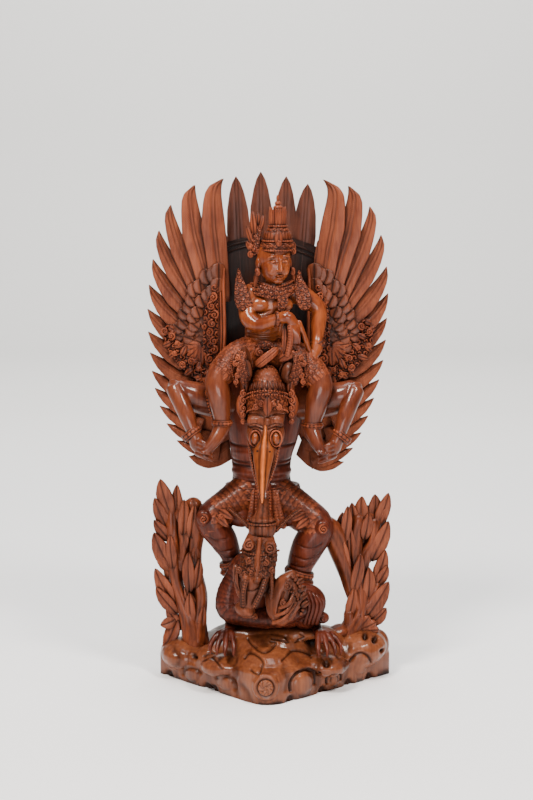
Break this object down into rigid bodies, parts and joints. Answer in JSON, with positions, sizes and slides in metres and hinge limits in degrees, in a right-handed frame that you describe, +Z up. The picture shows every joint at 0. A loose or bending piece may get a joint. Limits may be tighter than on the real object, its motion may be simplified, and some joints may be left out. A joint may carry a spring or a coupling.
{
  "type": "carved deity statue",
  "caption": "Carved hardwood figure of Vishnu riding the bird Garuda, with fan wings, a crowned serpent and leafy trees on a rock plinth.",
  "frame": {"origin": "middle of the flat underside of the plinth, below the figures' backbone", "axes": "+Z up the statue, -Y the way the figures face, +X towards the statue's left hand, on the viewer's right"},
  "size_m": [0.2939, 0.2651, 0.6037],
  "materials": {
    "carved_wood": "polished on the bare skin, matt in the feathers, leaves and scrollwork"
  },
  "bodies": {
    "root": {"statue": "carved_wood"}
  },
  "joints": []
}
